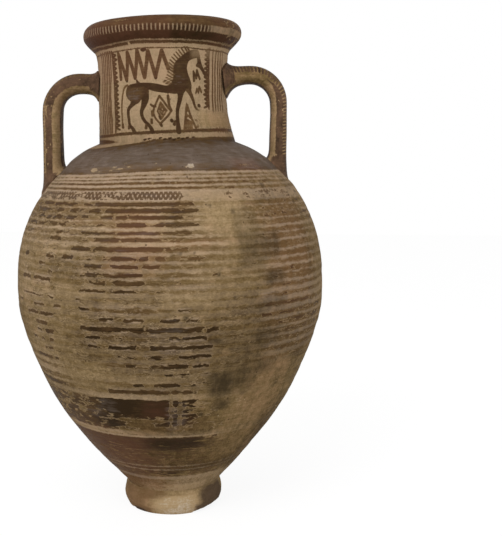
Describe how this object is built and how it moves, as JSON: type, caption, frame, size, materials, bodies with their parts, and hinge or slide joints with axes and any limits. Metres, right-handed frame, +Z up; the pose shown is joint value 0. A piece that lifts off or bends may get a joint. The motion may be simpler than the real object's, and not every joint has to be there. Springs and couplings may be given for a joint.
{
  "type": "geometric amphora",
  "caption": "Tall fired-clay storage jar with a wide flared mouth, straight neck, two strap handles, swelling body and ring foot, painted with a horse, zigzags and bands.",
  "frame": {"origin": "on the ground, under the middle of the body", "axes": "+Z up along the jar; the painted front faces -Y; the handles lie along X"},
  "size_m": [0.3306, 0.3306, 0.525],
  "materials": {
    "fired_clay": "matte, bare buff clay, worn and stained",
    "painted_clay": "matte buff clay with worn dark brown slip paint",
    "dark_glaze": "dull dark brown slip with a faint sheen"
  },
  "bodies": {
    "root": {"foot_ring": "fired_clay", "lower_body": "painted_clay", "upper_body": "painted_clay", "neck": "painted_clay", "lip": "dark_glaze", "left_handle": "dark_glaze", "right_handle": "dark_glaze"}
  },
  "joints": []
}
